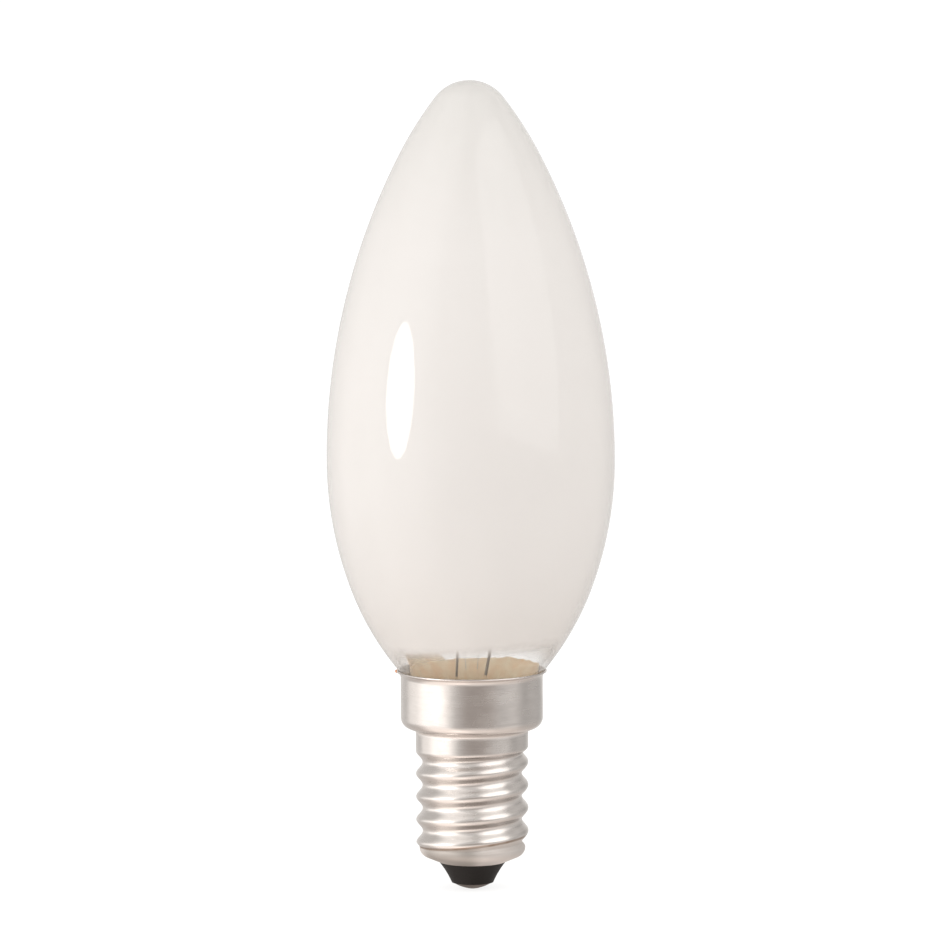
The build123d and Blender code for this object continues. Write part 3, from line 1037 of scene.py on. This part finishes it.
# %% [markdown]
# ## Capping cement
# The glass is glued into the cap with a paste that sets when it is baked. It fills the collar to just
# below the lip, and on the far side some of it was squeezed out of the gap and baked onto the glass. That
# smear shows through the clear neck. A turned ring would have an even top, but this top is ragged, so the
# section changes all the way round: a column of points is worked out for each angle, and the columns are
# joined to one ring.

# %% The gap that the cement fills
def glass_radius(z):
    """The outer radius of the glass at a height."""
    if z < neck_z:
        return neck_r
    if z < seat_z:
        return neck_r + neck_sweep - sqrt(neck_sweep**2 - (z - neck_z) ** 2)
    below_hip_centre = seat_z + hip_sweep * sin(lean) - z
    return seat_r - hip_sweep * cos(lean) + sqrt(hip_sweep**2 - below_hip_centre**2)


def collar_radius(z):
    """The inner radius of the collar and its lip at a height."""
    if z < lip_z:
        return collar_in_r
    return collar_in_r + lip_bend - sqrt(lip_bend**2 - (z - lip_z) ** 2)


print(f"at the lip's foot the gap is {(collar_radius(lip_z) - glass_radius(lip_z)) / MM:.2f} mm wide")

# %% The section of the cement
cement_foot = lip_z - collar_h
cement_top = rim_z - 0.3 * MM
clearance = 0.02 * MM
gap_z = rim_z + 0.07 * MM
film_margin = 0.01 * MM
smear_thickness = 0.22 * MM
# Angles are in degrees from the far side, and rises and drops in millimetres.
smear_angles = [-61, -58, -56, -40, -24, -21, -15, -12, 15, 20, 24, 39, 50, 65, 68, 71]
smear_rises = [0, 0.3, 1.4, 1.3, 1.2, 0.42, 0.4, 0.52, 0.5, 0.55, 0.76, 0.7, 0.6, 0.5, 0.2, 0]
least_rise = 0.05
fill_angles = [-66, -61, 71, 76]
fill_drops = [1.4, 0, 0, 1.4]
ragged_waves = [(9, 0.09), (30, 0.09), (75, 0.07)]


def cement_column(angle):
    """The section at an angle from the far side, anticlockwise from the foot, as radius and height."""
    round_spot = Vector((sin(angle), cos(angle), 0))
    ragged = sum(depth * noise.noise(round_spot * often) for often, depth in ragged_waves)
    rise = np.interp(degrees(angle), smear_angles, smear_rises) * (1 + 1.5 * ragged) + 0.3 * ragged
    fill_top = cement_top - np.interp(degrees(angle), fill_angles, fill_drops) * MM
    top = fill_top + max(rise, least_rise) * MM
    film_top = min(gap_z, top - film_margin)
    outer = [(collar_radius(z) - clearance, z) for z in np.linspace(cement_foot, fill_top, 14)]
    film = [(glass_radius(z) + 2 * clearance, z) for z in np.linspace(fill_top + clearance, film_top, 4)]
    smear = []
    for share in np.linspace(0, 1, 8):
        z = film_top + clearance / 4 + (top - film_top) * share
        bulge = min(smear_thickness, top - film_top) * sqrt(1 - share)
        smear.append((glass_radius(z) + 2 * clearance + bulge * (top > gap_z), z))
    inner = [(glass_radius(z) + clearance, z) for z in np.linspace(top, cement_foot, 20)]
    return outer + film + smear + inner


print(f"cement from {cement_foot / MM:.2f} mm, the smear up to {cement_top / MM + max(smear_rises):.2f} mm")

# %% The cement ring
cement_sides = 288
columns = []
for k in range(cement_sides):
    angle = 2 * pi * k / cement_sides - pi
    columns.append([(r * sin(angle), r * cos(angle), z) for r, z in cement_column(angle)])
rows = len(columns[0])
corners = [corner for column in columns for corner in column]
faces = []
for k in range(cement_sides):
    here, there = k * rows, (k + 1) % cement_sides * rows
    for row in range(rows):
        above = (row + 1) % rows
        faces.append((here + row, here + above, there + above, there + row))
cement_mesh = bpy.data.meshes.new("cement_ring")
cement_mesh.from_pydata(corners, [], faces)
cement_mesh.shade_smooth()
cement_mesh.materials.append(cement_finish)
cement = bpy.data.objects.new("cement_ring", cement_mesh)
bpy.context.scene.collection.objects.link(cement)
finished(cement, "capping_cement")

# %% [markdown]
# ## Filament
# Tungsten wire thinner than a hair is wound into a coil, and the coil hangs between the leads in a
# shallow arc. A helix could be a list of points worked out in Python, but in a tree it follows any curve:
# the arc is cut into short steps, each point moves out by the coil's radius in a direction that goes
# round once a turn, and a round section makes it wire.

# %% A tree that winds wire
COIL_INPUTS = {
    "Coil Diameter": ("NodeSocketFloat", 0.5 * MM),
    "Wire Diameter": ("NodeSocketFloat", 0.08 * MM),
    "Turns": ("NodeSocketInt", 80),
    "Points Per Turn": ("NodeSocketInt", 14),
    "Face": ("NodeSocketMaterial", None),
}
wire_sides = 6


def scaled_by(vector, amount):
    """A vector made longer by an amount that varies."""
    inputs = {"Vector": vector, "Scale": amount}
    return amount.node("ShaderNodeVectorMath", {"operation": "SCALE"}, inputs)


def coil_tree():
    tree, start = new_tree("wind_coil", COIL_INPUTS)
    wire_d = given(start, "Wire Diameter")
    turns = given(start, "Turns")
    radius = (given(start, "Coil Diameter") - wire_d) / 2
    path = start.node("GeometryNodeMeshToCurve", inputs={"Mesh": given(start, "Geometry")})
    steps = {"Curve": path, "Count": turns * given(start, "Points Per Turn")}
    path = start.node("GeometryNodeResampleCurve", inputs=steps)
    angle = start.node("GeometryNodeSplineParameter", out="Factor") * turns * 2 * pi
    side = (0, 1, 0)
    both = {0: start.node("GeometryNodeInputTangent"), 1: side}
    other_side = start.node("ShaderNodeVectorMath", {"operation": "CROSS_PRODUCT"}, both)
    sideways = scaled_by(side, radius * start.maths("COSINE", angle))
    otherwise = scaled_by(other_side, radius * start.maths("SINE", angle))
    outward = start.node("ShaderNodeVectorMath", inputs={0: sideways, 1: otherwise})
    coil = start.node("GeometryNodeSetPosition", inputs={"Geometry": path, "Offset": outward})
    circle = {"Resolution": wire_sides, "Radius": wire_d / 2}
    section = start.node("GeometryNodeCurvePrimitiveCircle", inputs=circle)
    sweep = {"Curve": coil, "Profile Curve": section, "Fill Caps": True}
    wire = start.node("GeometryNodeCurveToMesh", inputs=sweep)
    smooth = start.node("GeometryNodeSetShadeSmooth", inputs={"Geometry": wire})
    single = start.node("GeometryNodeRealizeInstances", inputs={"Geometry": smooth})
    start.node("NodeGroupOutput", inputs={0: with_material(single, given(start, "Face"))})
    return tree


wire_tree = coil_tree()
print("winding tree:", len(wire_tree.nodes), "nodes")

# %% The wound filament
coil_d = 0.5 * MM
filament_rise = 2.4 * MM
filament_half = 6.3 * MM
arc_points = 49
filament_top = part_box("filament")[1].z - coil_d / 2
filament_sweep = (filament_half**2 + filament_rise**2) / (2 * filament_rise)
filament_reach = asin(filament_half / filament_sweep)
arc = []
for share in np.linspace(-1, 1, arc_points):
    angle = share * filament_reach
    arc.append((filament_sweep * sin(angle), 0, filament_top - filament_sweep * (1 - cos(angle))))
arc_mesh = bpy.data.meshes.new("filament_arc")
arc_mesh.from_pydata(arc, [(k, k + 1) for k in range(arc_points - 1)], [])
filament = grown_piece(
    "wound_filament", arc_mesh, wire_tree, Coil_Diameter=coil_d, Face=metals["drawn_tungsten"],
)
finished(filament, "filament")

# %% [markdown]
# ## Supports
# Two molybdenum wires rise from the stem's press and hold the filament in its arc. On a real bulb they
# are so fine that nothing shows between the leads, so they are made finer here than in the solids. A thin
# cylinder would do, but the winding tree already draws wire: a coil no wider than its own wire is a
# straight wire.

# %% The two fine supports
support_cad_d = 0.24 * MM
support_d = 0.12 * MM
for side in ("left", "right"):
    node = f"support_wire_{side}"
    low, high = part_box(node)
    inner_x, outer_x = sorted((low.x, high.x), key=abs)
    inset = (support_cad_d / 2) * (1 if inner_x > 0 else -1)
    ends = [(inner_x + inset, 0, low.z), (outer_x - inset, 0, high.z - coil_d / 2)]
    line_mesh = bpy.data.meshes.new("support_line")
    line_mesh.from_pydata(ends, [(0, 1)], [])
    support = grown_piece(
        f"fine_support_{side}", line_mesh, wire_tree,
        Coil_Diameter=support_d, Wire_Diameter=support_d, Turns=1, Face=metals["molybdenum_wire"],
    )
    finished(support, node)

# %% [markdown]
# ## Weld
# The side lead ends at the lip, where a drop of copper joins the two. It is a turned bead, pressed longer
# along the lip, with a few lumps. Lumps could be sculpted by hand, but a noise that makes each point
# stand out more or less gives the same bead every time.

# %% The weld
weld_r = 0.19 * MM
weld_inset = 0.02 * MM
weld_drop = 0.13 * MM
weld_segments = 28
weld_step = radians(12)
lump_depth = 0.25
lump_often = 1.3
wider, longer = 1.15, 1.7
weld_spot = Vector((-lip_r + weld_inset, 0, rim_z - weld_drop))
bead_line = course(-1j * weld_r, 0, [("left", weld_r, pi)], 0.0, weld_step)
weld = grown_piece(
    "copper_bead", drawn("bead_line", bead_line), turn_tree,
    Segments=weld_segments, Face=metals["copper_weld"],
)
for corner in weld.data.vertices:
    lump = 1 + lump_depth * noise.noise(corner.co / weld_r * lump_often)
    stretched = Vector((corner.co.x * wider, corner.co.y * longer, corner.co.z))
    corner.co = weld_spot + stretched * lump
finished(weld, "side_weld")

# %% [markdown]
# ## Finishes for the pieces that stay as CAD
# The black glass, the contact and its solder, the stem, its tube and the two leads keep their solids.
# They could be turned again like the cap, but they are smooth enough as they are, so they only get
# finishes.

# %% Finishes on CAD nodes
cad_finishes = {
    "insulator": insulator_finish,
    "contact_plate": metals["tinned_brass"],
    "contact_solder": metals["solder"],
    "glass_stem": stem_finish,
    "exhaust_tube": stem_finish,
    "lead_wire_centre": metals["nickel_wire"],
    "lead_wire_side": metals["nickel_wire"],
}
for node, finish in cad_finishes.items():
    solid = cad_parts[node]
    solid.data.materials.clear()
    solid.data.materials.append(finish)
print(f"{len(cad_finishes)} CAD nodes have their finishes")

# %% [markdown]
# ## The visible size, and the end
# The finished bulb still has to fit its holder. So the last step prints the box of what is now visible.

# %% The visible size, and the end
low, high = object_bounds()
print("visual box in mm:", [round(side / MM, 2) for side in high - low])
